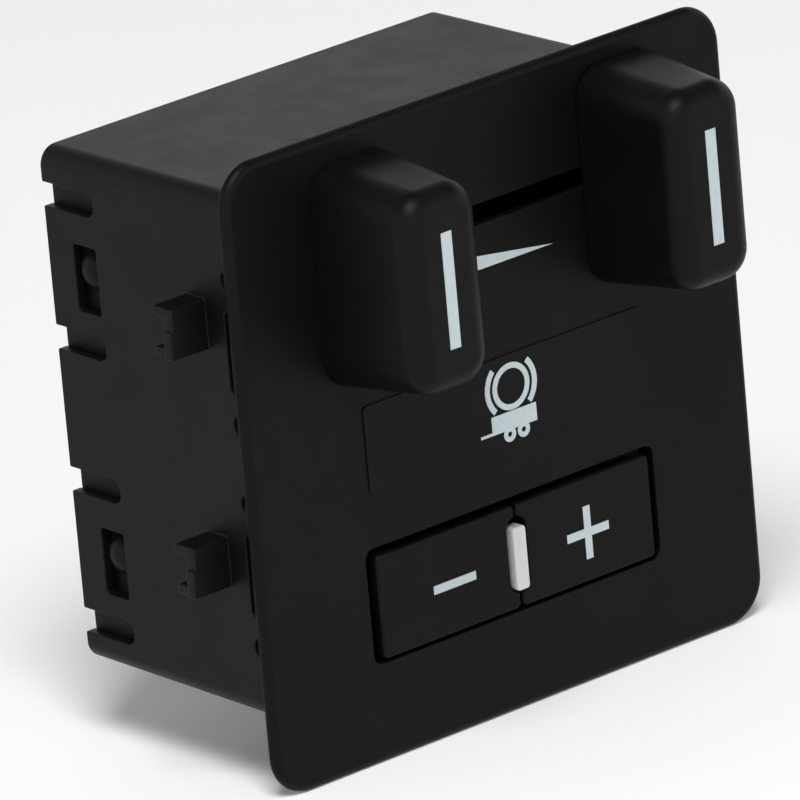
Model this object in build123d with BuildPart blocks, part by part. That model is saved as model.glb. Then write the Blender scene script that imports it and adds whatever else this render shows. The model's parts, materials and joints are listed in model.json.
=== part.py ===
from build123d import *
import math
import os

# Dash-mounted trailer brake control panel, in millimetres.
# X runs to the driver's right, Y into the dashboard and Z up. The origin is the centre of the
# panel cut-out, in the plane where the bezel flange seats on the dashboard.

# ---------------------------------------------------------------- bezel
bezel_size = 65.8
bezel_thickness = 1.1
bezel_corner_radius = 4.5
bezel_edge_radius = 0.9
bezel_x = 5.3
bezel_z = -2.75
face_y = -bezel_thickness

# ---------------------------------------------------------------- housing
housing_width = 54.2
housing_height = 54.6
housing_depth = 28.0
housing_corner_radius = 2.0
housing_wall = 1.4
housing_draft_deg = 0.5
inner_width = housing_width - 2 * housing_wall
inner_height = housing_height - 2 * housing_wall

housing_inner_radius = 0.6

notch_count = 4
notch_pitch = 15.0
notch_middle_z = -0.22
notch_height = 2.5
notch_length = 7.7
notch_round = 1.1

window_y = 22.25
window_width = 3.45
window_height = 7.0
window_round = 0.3
window_pitch = 29.9
window_middle_z = -0.65

edge_group_pitch = 23.2
edge_group_middle_z = -0.65
edge_slot_length = 8.4
edge_slot_depth = 1.1
edge_slot_round = 0.5
edge_hole_radius = 1.15
edge_hole_spacing = 7.5
edge_hole_y = 0.0

clip_pitch = 24.8
clip_middle_z = 1.05
clip_front_y = 3.85
clip_depth = 3.0
clip_height = 5.2
clip_reach = 4.3
clip_plate = 1.2
clip_roof = 1.0
clip_barb_reach = 0.35
clip_barb_height = 2.9

# ---------------------------------------------------------------- rear cover and snaps
slip_gap = 0.1
cover_width = inner_width - 2 * slip_gap
cover_height = inner_height - 2 * slip_gap
cover_skirt_start = 16.5
cover_skirt_wall = 1.2
cover_plate = 1.6
cover_corner_radius = 1.3
cover_groove_x = 19.0
cover_groove_width = 2.0
cover_groove_depth = 0.8
cover_groove_radius = 0.9
cover_groove_margin = 8.0
snap_width = 3.25
snap_height = 4.4
snap_reach = 3.0
snap_offset_z = 0.7
snap_dome_radius = 2.4
snap_dome_proud = 1.25

# ---------------------------------------------------------------- bezel collar and posts
collar_wall = 1.4
collar_depth = 2.5
collar_inner_width = cover_width - 2 * collar_wall
collar_inner_height = cover_height - 2 * collar_wall
tab_length = 7.6
tab_depth = 0.8
tab_rise = 0.8

board_front_y = 12.0
board_thickness = 1.6
board_rear_y = board_front_y + board_thickness
board_width = 48.8
board_height = 49.8
board_corner_radius = 1.5
board_hole_gap = 0.15
post_radius = 2.2
board_posts = [(-20.9, 20.85), (20.1, 22.95), (-20.9, -20.15), (20.1, -8.15)]
screw_shank_radius = 1.0
screw_head_radius = 1.9
screw_head_height = 1.3
screw_tip_gap = 1.0
cross_length = 2.0
cross_width = 0.5
cross_floor = 0.6
post_pilot_depth = 8.0

# ---------------------------------------------------------------- grips
grip_base_width = 11.7
grip_base_height = 23.2
grip_base_radius = 3.5
grip_top_width = 9.55
grip_top_height = 20.65
grip_top_radius = 3.2
grip_lean_x = -0.675
grip_lean_z = 0.475
grip_proud = 14.0
grip_round = 2.4
fixed_grip_x = -11.03
fixed_grip_z = 15.72
slide_grip_x = 24.06
slide_grip_z = 16.49
slide_grip_gap = 0.25
grip_screw_x = -12.55
grip_screw_z = 16.45
grip_screw_spacing = 11.0
grip_screw_depth = 8.0
grip_clearance_radius = 1.25
stripe_width = 1.35
stripe_height = 12.0
stripe_shift_x = -0.57
stripe_shift_z = 0.53
print_thickness = 0.06

# ---------------------------------------------------------------- slide
slide_travel = 17.0
slot_z = 16.8
slot_height = 2.1
slot_round = 0.75
stem_left = 19.4
stem_right = 23.4
stem_thickness = 1.5
slot_end_gap = 0.6
leg_front_y = 0.15
leg_rear_y = 1.15
leg_bottom_z = 10.75
tongue_front_y = -9.0
tongue_gap = 0.1

baffle_front_y = 1.3
baffle_rear_y = 2.3
baffle_bottom_z = 13.75
baffle_top_z = 19.95
guide_plate = 1.5
guide_left = -9.4
guide_right = 23.2
guide_bottom_z = 6.95
guide_top_z = 20.55
rod_radius = 1.2
rod_clearance = 0.05
rod_chamfer = 0.2
rod_y = 6.5
rod_low_z = 9.85
rod_high_z = 18.55

carriage_left = 9.6
carriage_right = 21.4
carriage_front_y = 3.8
carriage_rear_y = 9.2
carriage_bottom_z = 7.35
carriage_top_z = 20.75
carriage_chamfer = 0.6
neck_left = 16.2
neck_right = 21.2
neck_top_z = 12.95

spring_wire_radius = 0.225
spring_coil_radius = 1.75
spring_pocket_radius = 2.3
spring_pocket_depth = 9.6
spring_coils = 15
spring_end_gap = 0.05

track_front_y = 10.9
track_bottom_z = 11.35
track_top_z = 17.35
wiper_thickness = 0.25
wiper_half_length = 3.0
wiper_margin = 0.5
wiper_finger_inset = 1.6
wiper_finger_half = 0.4
wiper_finger_length = 1.0

# ---------------------------------------------------------------- keys
key_split_x = 5.65
key_split_gap = 0.25
key_left_x = -12.8
key_right_x = 23.7
key_bottom_z = -24.95
key_top_z = -14.05
key_proud = 0.3
key_face_rear_y = -0.3
key_body_rear_y = 4.2
key_body_inset = 0.8
key_lens_gap = 0.6
key_corner_radius = 0.6
key_edge_radius = 0.3
key_travel = 0.8
key_wall = 1.2
key_hook_width = 3.0
key_hook_rise = 0.45
key_hook_front_y = 2.15
key_hook_gap = 0.1
key_stem_radius = 1.5
key_stem_gap = 0.05
window_left_x = -13.8
window_right_x = 24.65
window_bottom_z = -25.4
window_top_z = -13.3
window_corner_radius = 1.0

frame_left_x = -15.4
frame_right_x = 24.7
frame_bottom_z = -25.15
frame_top_z = -12.05
frame_lip_front_y = 1.0
frame_lip_rear_y = 2.0
frame_plate = 1.0
frame_stop_gap = 0.2
frame_rear_y = key_body_rear_y + key_travel + frame_stop_gap + frame_plate
frame_gap = 0.3
frame_leg = 2.0
frame_leg_right_x = 20.1

dome_base_radius = 3.8
dome_top_radius = 1.9
dome_height = 3.4

# ---------------------------------------------------------------- indicator
lens_width = 1.7
lens_height = 6.7
lens_z = -19.65
lens_proud = 0.5
lens_rear_y = -0.4
lens_corner_radius = 0.4
lens_edge_radius = 0.25
lens_slot_width = 2.6
lens_slot_height = 8.0
lens_slot_z = -19.35
lens_slot_radius = 1.2
guide_bar_width = 1.3
guide_bar_height = 5.6
guide_bar_rear_y = 11.0
guide_bar_radius = 0.4
led_width = 2.0
led_height = 1.25
led_thickness = 0.8

# ---------------------------------------------------------------- printed marks
label_width = 37.2
label_height = 9.3
label_x = bezel_x + 0.7
label_z = bezel_z - 0.35
label_thickness = 0.15
label_corner_radius = 0.6

symbol_x = bezel_x + 1.35
symbol_z = bezel_z + 0.95
ring_outer_radius = 2.46
ring_inner_radius = 1.86
shoe_outer_radius = 3.45
shoe_inner_radius = 2.82
shoe_half_angle = 44.0
trailer_left = -2.9
trailer_right = 3.05
trailer_top = -2.55
trailer_bottom = -4.45
tow_bar_length = 1.55
tow_bar_height = 0.3
wheel_radius = 0.8
wheel_hole_radius = 0.28
wheel_x = (-0.65, 1.2)
wheel_z = -4.9

mark_stroke = 0.9
mark_length = 5.6
minus_x = bezel_x - 8.25
plus_x = bezel_x + 9.65
mark_z = bezel_z - 17.0

wedge_left_x = bezel_x - 2.0
wedge_tip_x = bezel_x + 8.5
wedge_base_z = bezel_z + 13.9
wedge_height = 1.52

# ---------------------------------------------------------------- connector
connector_width = 24.0
connector_height = 11.6
connector_wall = 1.5
connector_rear_y = 34.5
connector_floor_y = 21.0
connector_radius = 1.0
connector_x = 0.0
connector_z = 1.0
connector_opening_gap = 0.3
latch_ramp_width = 5.0
latch_ramp_depth = 2.4
latch_ramp_rise = 1.0
latch_ramp_rear = 1.2
latch_ramp_flat = 0.8
pin_size = 0.64
pin_tip_y = 28.5
pin_tail_y = 11.0
pin_pitch = 3.0
pin_count = 6
pin_tip_chamfer = 0.18

# ---------------------------------------------------------------- board components
chip_x = -13.0
chip_z = -12.0
chip_size = 7.0
chip_height = 1.4
chip_standoff = 0.1
chip_corner_radius = 0.2
chip_lead_width = 0.32
chip_lead_length = 1.6
chip_lead_thickness = 0.3
chip_lead_pitch = 0.8
chip_lead_span = 8.4
chip_leads_per_side = 8
part_width = 2.0
part_height = 1.25
part_thickness = 0.6
part_first_x = 4.0
part_first_z = -14.0
part_pitch_x = 3.6
part_pitch_z = 3.2
part_columns = 5
part_rows = 2
capacitor_radius = 2.5
capacitor_length = 5.4
capacitor_chamfer = 0.4
capacitor_places = [(-15.0, 12.5), (-8.5, 15.0)]

os.makedirs("parts", exist_ok=True)


def upright(y):
    """The plane parallel to the bezel face at depth y, drawn with X across and Z up."""
    return Plane.XZ.offset(-y)


def prism(width, height, front, rear, x=0.0, z=0.0, radius=0.0, mode=Mode.ADD):
    """A rectangular prism along Y, with rounded corners where a radius is given."""
    with BuildSketch(upright(front)) as outline:
        with Locations((x, z)):
            if radius > 0:
                RectangleRounded(width, height, radius)
            else:
                Rectangle(width, height)
    extrude(outline.sketch, amount=front - rear, mode=mode)


def block(x_span, y_span, z_span, mode=Mode.ADD):
    """A box between two values on each axis."""
    spans = (x_span, y_span, z_span)
    middle = tuple((low + high) / 2 for low, high in spans)
    sides = tuple(high - low for low, high in spans)
    with Locations(middle):
        Box(*sides, mode=mode)


def rod_along_y(radius, front, rear, places, mode=Mode.ADD):
    """Round pegs or holes along Y at each (x, z) place."""
    with BuildSketch(upright(front)) as outline:
        with Locations(*places):
            Circle(radius)
    extrude(outline.sketch, amount=front - rear, mode=mode)


def cut_cross_recesses(seat_y, places):
    """A cross recess in each screw head that sits on the plane y = seat_y."""
    for place_x, place_z in places:
        for across, tall in ((cross_length, cross_width), (cross_width, cross_length)):
            prism(
                across, tall, seat_y + cross_floor, seat_y + screw_head_height,
                place_x, place_z, mode=Mode.SUBTRACT,
            )


def save(builder, name):
    """Labels the finished piece and writes its STEP file."""
    builder.part.label = name
    export_step(builder.part, f"parts/{name}.step")


# ================================================================ front bezel
slot_left = stem_left - slide_travel - slot_end_gap
slot_right = stem_right + slot_end_gap
grip_screw_places = [
    (grip_screw_x, grip_screw_z - grip_screw_spacing / 2),
    (grip_screw_x, grip_screw_z + grip_screw_spacing / 2),
]
group_centres = [
    edge_group_middle_z - edge_group_pitch / 2,
    edge_group_middle_z + edge_group_pitch / 2,
]

with BuildPart() as front_bezel:
    prism(bezel_size, bezel_size, face_y, 0, bezel_x, bezel_z, bezel_corner_radius)
    front_face = front_bezel.faces().sort_by(Axis.Y)[0]
    fillet(front_face.edges(), radius=bezel_edge_radius)
    # collar that locates the housing
    prism(cover_width, cover_height, 0, collar_depth, radius=cover_corner_radius)
    prism(collar_inner_width, collar_inner_height, 0, collar_depth, mode=Mode.SUBTRACT)
    # the collar stops at the key window
    block(
        (frame_left_x - frame_gap, inner_width / 2),
        (0, collar_depth),
        (-inner_height / 2, frame_top_z + frame_gap),
        mode=Mode.SUBTRACT,
    )
    # snap tabs that spring into the slots at the front edge of the housing
    for side in (-1, 1):
        for centre_z in group_centres:
            if side > 0 and centre_z < 0:
                continue
            tab_root = side * (cover_width / 2 - collar_wall / 2)
            tab_tip = side * (cover_width / 2 + tab_rise)
            block(
                (min(tab_root, tab_tip), max(tab_root, tab_tip)),
                (edge_slot_depth - tab_depth - slip_gap, edge_slot_depth - slip_gap),
                (centre_z - tab_length / 2, centre_z + tab_length / 2),
            )
    # posts for the circuit board
    rod_along_y(post_radius, 0, board_front_y, board_posts)
    rod_along_y(
        screw_shank_radius, board_front_y - post_pilot_depth, board_front_y, board_posts,
        mode=Mode.SUBTRACT,
    )
    # key window with its rounded corners
    prism(
        window_right_x - window_left_x, window_top_z - window_bottom_z, face_y, 0,
        (window_left_x + window_right_x) / 2, (window_bottom_z + window_top_z) / 2,
        window_corner_radius, mode=Mode.SUBTRACT,
    )
    # slot for the sliding grip
    prism(
        slot_right - slot_left, slot_height, face_y, 0,
        (slot_left + slot_right) / 2, slot_z, slot_round, mode=Mode.SUBTRACT,
    )
    # screw holes behind the fixed grip
    rod_along_y(grip_clearance_radius, face_y, 0, grip_screw_places, mode=Mode.SUBTRACT)
save(front_bezel, "front_bezel")

# ================================================================ housing
notch_centres = [
    notch_middle_z + (step - (notch_count - 1) / 2) * notch_pitch for step in range(notch_count)
]
window_centres = [window_middle_z - window_pitch / 2, window_middle_z + window_pitch / 2]
clip_centres = [clip_middle_z - clip_pitch / 2, clip_middle_z + clip_pitch / 2]
rear_inset = housing_depth * math.tan(math.radians(housing_draft_deg))

with BuildPart() as housing:
    with BuildSketch(upright(housing_depth)):
        RectangleRounded(
            housing_width - 2 * rear_inset, housing_height - 2 * rear_inset,
            housing_corner_radius,
        )
    with BuildSketch(upright(0)):
        RectangleRounded(housing_width, housing_height, housing_corner_radius)
    loft(ruled=True)
    prism(
        inner_width, inner_height, 0, housing_depth, radius=housing_inner_radius,
        mode=Mode.SUBTRACT,
    )
    # notches that open at the rear edge, on both side walls
    with BuildSketch(Plane.YZ.offset(-housing_width)):
        for centre_z in notch_centres:
            with Locations((housing_depth, centre_z)):
                RectangleRounded(2 * notch_length, notch_height, notch_round)
    extrude(amount=2 * housing_width, mode=Mode.SUBTRACT)
    # snap windows
    with BuildSketch(Plane.YZ.offset(-housing_width)):
        for centre_z in window_centres:
            with Locations((window_y, centre_z)):
                RectangleRounded(window_width, window_height, window_round)
    extrude(amount=2 * housing_width, mode=Mode.SUBTRACT)
    # slots and half-round holes along the front edge
    with BuildSketch(Plane.YZ.offset(-housing_width)):
        for centre_z in group_centres:
            with Locations((0, centre_z)):
                RectangleRounded(2 * edge_slot_depth, edge_slot_length, edge_slot_round)
            with Locations(
                (edge_hole_y, centre_z - edge_hole_spacing),
                (edge_hole_y, centre_z + edge_hole_spacing),
            ):
                Circle(edge_hole_radius)
    extrude(amount=2 * housing_width, mode=Mode.SUBTRACT)
    # panel retention clips: a front plate with a roof, a floor and a barb, on both sides
    for side in (-1, 1):
        root_x = side * (housing_width / 2 - housing_wall / 2)
        tip_x = side * (housing_width / 2 + clip_reach)
        barb_x = tip_x + side * clip_barb_reach
        wide = (min(root_x, tip_x), max(root_x, tip_x))
        barbed = (min(root_x, barb_x), max(root_x, barb_x))
        plate_y = (clip_front_y, clip_front_y + clip_plate)
        arm_y = (clip_front_y, clip_front_y + clip_depth)
        for centre_z in clip_centres:
            low_z = centre_z - clip_height / 2
            high_z = centre_z + clip_height / 2
            block(wide, plate_y, (low_z, high_z))
            block(barbed, plate_y, (low_z, low_z + clip_barb_height))
            block(wide, arm_y, (high_z - clip_roof, high_z))
            block(wide, arm_y, (low_z, low_z + clip_roof))
save(housing, "housing")

# ================================================================ rear cover
snap_centres = [centre_z + snap_offset_z for centre_z in window_centres]


def snap_lug(side, centre_z):
    """One domed snap, standing on the skirt of the rear cover."""
    with BuildPart(mode=Mode.PRIVATE) as lug:
        root_x = side * (cover_width / 2 - cover_skirt_wall / 2)
        tip_x = root_x + side * snap_reach
        block(
            (min(root_x, tip_x), max(root_x, tip_x)),
            (window_y - snap_width / 2, window_y + snap_width / 2),
            (centre_z - snap_height / 2, centre_z + snap_height / 2),
        )
        dome_x = side * (cover_width / 2 + snap_dome_proud - snap_dome_radius)
        with Locations((dome_x, window_y, centre_z)):
            Sphere(snap_dome_radius, mode=Mode.INTERSECT)
    return lug.part


snap_lugs = [snap_lug(side, centre_z) for side in (-1, 1) for centre_z in snap_centres]

with BuildPart() as rear_cover:
    prism(cover_width, cover_height, cover_skirt_start, housing_depth, radius=cover_corner_radius)
    prism(
        cover_width - 2 * cover_skirt_wall, cover_height - 2 * cover_skirt_wall,
        cover_skirt_start, housing_depth - cover_plate, mode=Mode.SUBTRACT,
    )
    prism(
        connector_width + 2 * connector_opening_gap, connector_height + 2 * connector_opening_gap,
        housing_depth - cover_plate, housing_depth, connector_x, connector_z,
        connector_radius, mode=Mode.SUBTRACT,
    )
    # shallow grooves in the outside of the cover plate
    for groove_x in (-cover_groove_x, cover_groove_x):
        prism(
            cover_groove_width, cover_height - 2 * cover_groove_margin,
            housing_depth - cover_groove_depth, housing_depth, groove_x, 0,
            cover_groove_radius, mode=Mode.SUBTRACT,
        )
    for lug in snap_lugs:
        add(lug)
save(rear_cover, "rear_cover")

# ================================================================ circuit board
with BuildPart() as circuit_board:
    prism(board_width, board_height, board_front_y, board_rear_y, radius=board_corner_radius)
    rod_along_y(
        screw_shank_radius + board_hole_gap, board_front_y, board_rear_y, board_posts,
        mode=Mode.SUBTRACT,
    )
    with BuildSketch(upright(board_front_y)):
        with Locations((connector_x, connector_z)):
            with GridLocations(pin_pitch, 1, pin_count, 1):
                Rectangle(pin_size, pin_size)
    extrude(amount=-board_thickness, mode=Mode.SUBTRACT)
save(circuit_board, "circuit_board")

with BuildPart() as board_screws:
    rod_along_y(
        screw_shank_radius, board_front_y - post_pilot_depth + screw_tip_gap, board_rear_y,
        board_posts,
    )
    rod_along_y(
        screw_head_radius, board_rear_y, board_rear_y + screw_head_height, board_posts
    )
    cut_cross_recesses(board_rear_y, board_posts)
save(board_screws, "board_screws")

# ================================================================ connector
with BuildPart() as connector_header:
    prism(
        connector_width, connector_height, board_rear_y, connector_rear_y,
        connector_x, connector_z, connector_radius,
    )
    prism(
        connector_width - 2 * connector_wall, connector_height - 2 * connector_wall,
        connector_floor_y, connector_rear_y, connector_x, connector_z, mode=Mode.SUBTRACT,
    )
    with BuildSketch(upright(board_rear_y)):
        with Locations((connector_x, connector_z)):
            with GridLocations(pin_pitch, 1, pin_count, 1):
                Rectangle(pin_size, pin_size)
    extrude(amount=board_rear_y - connector_floor_y, mode=Mode.SUBTRACT)
    # ramp that the cable plug's latch hooks over
    latch_z = connector_z + connector_height / 2
    latch_y = connector_rear_y - latch_ramp_rear
    latch_top_y = latch_y - latch_ramp_depth
    with BuildSketch(Plane.YZ.offset(connector_x - latch_ramp_width / 2)):
        with BuildLine():
            Polyline(
                (latch_y, latch_z),
                (latch_top_y, latch_z + latch_ramp_rise),
                (latch_top_y - latch_ramp_flat, latch_z + latch_ramp_rise),
                (latch_top_y - latch_ramp_flat, latch_z),
                close=True,
            )
        make_face()
    extrude(amount=latch_ramp_width)
save(connector_header, "connector_header")

with BuildPart() as connector_pins:
    with BuildSketch(upright(pin_tail_y)):
        with Locations((connector_x, connector_z)):
            with GridLocations(pin_pitch, 1, pin_count, 1):
                Rectangle(pin_size, pin_size)
    extrude(amount=pin_tail_y - pin_tip_y)
    tip_faces = connector_pins.faces().group_by(Axis.Y)[-1]
    chamfer(tip_faces.edges(), length=pin_tip_chamfer)
save(connector_pins, "connector_pins")

# ================================================================ board components
with BuildPart() as microcontroller:
    prism(
        chip_size, chip_size, board_rear_y + chip_standoff,
        board_rear_y + chip_standoff + chip_height, chip_x, chip_z, chip_corner_radius,
    )
    # leads along the top and bottom edges, then along the two sides
    with BuildSketch(upright(board_rear_y)):
        with Locations((chip_x, chip_z)):
            with GridLocations(chip_lead_pitch, chip_lead_span, chip_leads_per_side, 2):
                Rectangle(chip_lead_width, chip_lead_length)
            with GridLocations(chip_lead_span, chip_lead_pitch, 2, chip_leads_per_side):
                Rectangle(chip_lead_length, chip_lead_width)
    extrude(amount=-chip_lead_thickness)
save(microcontroller, "microcontroller")

with BuildPart() as chip_components:
    for column in range(part_columns):
        for row in range(part_rows):
            prism(
                part_width, part_height, board_rear_y, board_rear_y + part_thickness,
                part_first_x + column * part_pitch_x, part_first_z - row * part_pitch_z,
            )
save(chip_components, "chip_components")

with BuildPart() as capacitors:
    rod_along_y(capacitor_radius, board_rear_y, board_rear_y + capacitor_length, capacitor_places)
    chamfer(capacitors.faces().group_by(Axis.Y)[-1].edges(), length=capacitor_chamfer)
save(capacitors, "capacitors")

with BuildPart() as indicator_led:
    prism(
        led_width, led_height, board_front_y - led_thickness, board_front_y,
        key_split_x, lens_z,
    )
save(indicator_led, "indicator_led")

# ================================================================ light guide and lens
with BuildPart() as light_guide:
    prism(
        guide_bar_width, guide_bar_height, lens_rear_y, guide_bar_rear_y,
        key_split_x, lens_z, guide_bar_radius,
    )
save(light_guide, "light_guide")

with BuildPart() as indicator_lens:
    prism(
        lens_width, lens_height, face_y - key_proud - lens_proud, lens_rear_y,
        key_split_x, lens_z, lens_corner_radius,
    )
    fillet(indicator_lens.faces().sort_by(Axis.Y)[0].edges(), radius=lens_edge_radius)
save(indicator_lens, "indicator_lens")

# ================================================================ keys
key_front_y = face_y - key_proud
key_middle_z = (key_bottom_z + key_top_z) / 2
body_split_gap = lens_width / 2 + key_lens_gap
body_left = {"minus": key_left_x + key_body_inset, "plus": key_split_x + body_split_gap}
body_right = {"minus": key_split_x - body_split_gap, "plus": key_right_x - key_body_inset}
face_left = {"minus": key_left_x, "plus": key_split_x + key_split_gap / 2}
face_right = {"minus": key_split_x - key_split_gap / 2, "plus": key_right_x}
key_centre_x = {}
dome_front_y = board_front_y - dome_height

for name in ("minus", "plus"):
    left, right = face_left[name], face_right[name]
    inner_left, inner_right = body_left[name], body_right[name]
    middle_x = (inner_left + inner_right) / 2
    low_z = key_bottom_z + key_body_inset
    high_z = key_top_z - key_body_inset
    with BuildPart() as key:
        prism(
            right - left, key_top_z - key_bottom_z, key_front_y, key_face_rear_y,
            (left + right) / 2, key_middle_z, key_corner_radius,
        )
        fillet(key.faces().sort_by(Axis.Y)[0].edges(), radius=key_edge_radius)
        # the face gives way to the lens at the split
        prism(
            lens_slot_width, lens_slot_height, key_front_y, key_face_rear_y,
            key_split_x, lens_slot_z, lens_slot_radius, mode=Mode.SUBTRACT,
        )
        # hollow body behind the face
        prism(
            inner_right - inner_left, high_z - low_z, key_face_rear_y, key_body_rear_y,
            middle_x, key_middle_z,
        )
        prism(
            inner_right - inner_left - 2 * key_wall, high_z - low_z - 2 * key_wall,
            key_face_rear_y, key_body_rear_y, middle_x, key_middle_z, mode=Mode.SUBTRACT,
        )
        # stem that presses the switch dome
        rod_along_y(
            key_stem_radius, key_face_rear_y, dome_front_y - key_stem_gap,
            [(middle_x, key_middle_z)],
        )
        # hooks that keep the key behind the lip of its frame
        for hook_z in (low_z - key_hook_rise / 2, high_z + key_hook_rise / 2):
            prism(
                key_hook_width, key_hook_rise, key_hook_front_y, key_body_rear_y,
                middle_x, hook_z,
            )
    save(key, name + "_key")
    key_centre_x[name] = middle_x

    with BuildPart() as dome:
        with BuildSketch(upright(board_front_y)):
            with Locations((middle_x, key_middle_z)):
                Circle(dome_base_radius)
        with BuildSketch(upright(dome_front_y)):
            with Locations((middle_x, key_middle_z)):
                Circle(dome_top_radius)
        loft(ruled=True)
    save(dome, name + "_switch_dome")

with BuildPart() as minus_mark:
    prism(
        mark_length, mark_stroke, key_front_y - print_thickness, key_front_y, minus_x, mark_z
    )
save(minus_mark, "minus_mark")

with BuildPart() as plus_mark:
    prism(mark_length, mark_stroke, key_front_y - print_thickness, key_front_y, plus_x, mark_z)
    prism(mark_stroke, mark_length, key_front_y - print_thickness, key_front_y, plus_x, mark_z)
save(plus_mark, "plus_mark")

# ================================================================ key frame
with BuildPart() as key_frame:
    block(
        (frame_left_x, frame_right_x), (0, frame_rear_y), (frame_bottom_z, frame_top_z)
    )
    # open front, so that the key faces can travel in
    block(
        (window_left_x, frame_right_x), (0, frame_lip_front_y), (frame_bottom_z, window_top_z),
        mode=Mode.SUBTRACT,
    )
    for name in ("minus", "plus"):
        left, right = body_left[name] - frame_gap, body_right[name] + frame_gap
        low_z = key_bottom_z + key_body_inset - frame_gap
        high_z = key_top_z - key_body_inset + frame_gap
        block(
            (left, right), (0, frame_rear_y - frame_plate), (low_z, high_z), mode=Mode.SUBTRACT
        )
        # pocket for the hooks, behind the lip
        hook_reach = key_hook_rise + key_hook_gap
        hook_half = key_hook_width / 2 + frame_gap
        block(
            (key_centre_x[name] - hook_half, key_centre_x[name] + hook_half),
            (frame_lip_rear_y, frame_rear_y - frame_plate),
            (low_z - hook_reach, high_z + hook_reach),
            mode=Mode.SUBTRACT,
        )
        rod_along_y(
            key_stem_radius + frame_gap, frame_rear_y - frame_plate, frame_rear_y,
            [(key_centre_x[name], key_middle_z)], mode=Mode.SUBTRACT,
        )
    # slot that holds the light guide
    prism(
        guide_bar_width, guide_bar_height, 0, frame_rear_y, key_split_x, lens_z,
        guide_bar_radius, mode=Mode.SUBTRACT,
    )
    # legs that the circuit board clamps
    for leg_x in (frame_left_x, frame_leg_right_x):
        block(
            (leg_x, leg_x + frame_leg), (frame_rear_y, board_front_y),
            (frame_top_z - frame_leg, frame_top_z),
        )
save(key_frame, "key_frame")

# ================================================================ label and symbol
with BuildPart() as label_panel:
    prism(
        label_width, label_height, face_y - label_thickness, face_y, label_x, label_z,
        label_corner_radius,
    )
save(label_panel, "label_panel")

symbol_front_y = face_y - label_thickness - print_thickness

with BuildPart() as brake_symbol:
    # brake drum
    with BuildSketch(upright(symbol_front_y)):
        with Locations((symbol_x, symbol_z)):
            Circle(ring_outer_radius)
            Circle(ring_inner_radius, mode=Mode.SUBTRACT)
    extrude(amount=-print_thickness)
    # brake shoes, one on each side of the drum
    for middle_angle in (0, 180):
        with BuildSketch(upright(symbol_front_y)):
            with BuildLine():
                shoe_outer = CenterArc(
                    (symbol_x, symbol_z), shoe_outer_radius,
                    middle_angle - shoe_half_angle, 2 * shoe_half_angle,
                )
                shoe_inner = CenterArc(
                    (symbol_x, symbol_z), shoe_inner_radius,
                    middle_angle - shoe_half_angle, 2 * shoe_half_angle,
                )
                Line(shoe_outer @ 0, shoe_inner @ 0)
                Line(shoe_outer @ 1, shoe_inner @ 1)
            make_face()
        extrude(amount=-print_thickness)
    # trailer body, tow bar and two wheels
    with BuildSketch(upright(symbol_front_y)):
        with Locations(
            (
                symbol_x + (trailer_left + trailer_right) / 2,
                symbol_z + (trailer_top + trailer_bottom) / 2,
            )
        ):
            Rectangle(trailer_right - trailer_left, trailer_top - trailer_bottom)
        with Locations(
            (
                symbol_x + trailer_left - tow_bar_length / 2,
                symbol_z + trailer_bottom + tow_bar_height / 2,
            )
        ):
            Rectangle(tow_bar_length, tow_bar_height)
        with Locations(*[(symbol_x + x, symbol_z + wheel_z) for x in wheel_x]):
            Circle(wheel_radius)
            Circle(wheel_hole_radius, mode=Mode.SUBTRACT)
    extrude(amount=-print_thickness)
save(brake_symbol, "brake_symbol")

with BuildPart() as wedge_mark:
    with BuildSketch(upright(face_y - print_thickness)):
        with BuildLine():
            Polyline(
                (wedge_left_x, wedge_base_z),
                (wedge_tip_x, wedge_base_z),
                (wedge_left_x, wedge_base_z + wedge_height),
                close=True,
            )
        make_face()
    extrude(amount=-print_thickness)
save(wedge_mark, "wedge_mark")

# ================================================================ fixed grip
grip_front_y = face_y - grip_proud


def grip_body(rear_y, x, z):
    """A grip that narrows to the front, leaning up and to the left as it goes."""
    with BuildPart() as body:
        with BuildSketch(upright(rear_y)):
            with Locations((x, z)):
                RectangleRounded(grip_base_width, grip_base_height, grip_base_radius)
        with BuildSketch(upright(grip_front_y)):
            with Locations((x + grip_lean_x, z + grip_lean_z)):
                RectangleRounded(grip_top_width, grip_top_height, grip_top_radius)
        loft(ruled=True)
        fillet(body.faces().sort_by(Axis.Y)[0].edges(), radius=grip_round)
    return body.part


with BuildPart() as fixed_grip:
    add(grip_body(face_y, fixed_grip_x, fixed_grip_z))
    rod_along_y(
        screw_shank_radius, face_y - grip_screw_depth, face_y, grip_screw_places,
        mode=Mode.SUBTRACT,
    )
save(fixed_grip, "fixed_grip")

with BuildPart() as fixed_grip_screws:
    rod_along_y(
        screw_shank_radius, face_y - grip_screw_depth + screw_tip_gap, 0, grip_screw_places
    )
    rod_along_y(screw_head_radius, 0, screw_head_height, grip_screw_places)
    cut_cross_recesses(0, grip_screw_places)
save(fixed_grip_screws, "fixed_grip_screws")

# ================================================================ slide grip
with BuildPart() as slide_grip:
    add(grip_body(face_y - slide_grip_gap, slide_grip_x, slide_grip_z))
    block(
        (stem_left - tongue_gap, stem_right + tongue_gap),
        (tongue_front_y - tongue_gap, face_y),
        (slot_z - stem_thickness / 2 - tongue_gap, slot_z + stem_thickness / 2 + tongue_gap),
        mode=Mode.SUBTRACT,
    )
save(slide_grip, "slide_grip")

for name, grip_x, grip_z in (
    ("fixed_grip_stripe", fixed_grip_x, fixed_grip_z),
    ("slide_grip_stripe", slide_grip_x, slide_grip_z),
):
    with BuildPart() as stripe:
        prism(
            stripe_width, stripe_height, grip_front_y - print_thickness, grip_front_y,
            grip_x + stripe_shift_x, grip_z + stripe_shift_z,
        )
    save(stripe, name)

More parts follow.
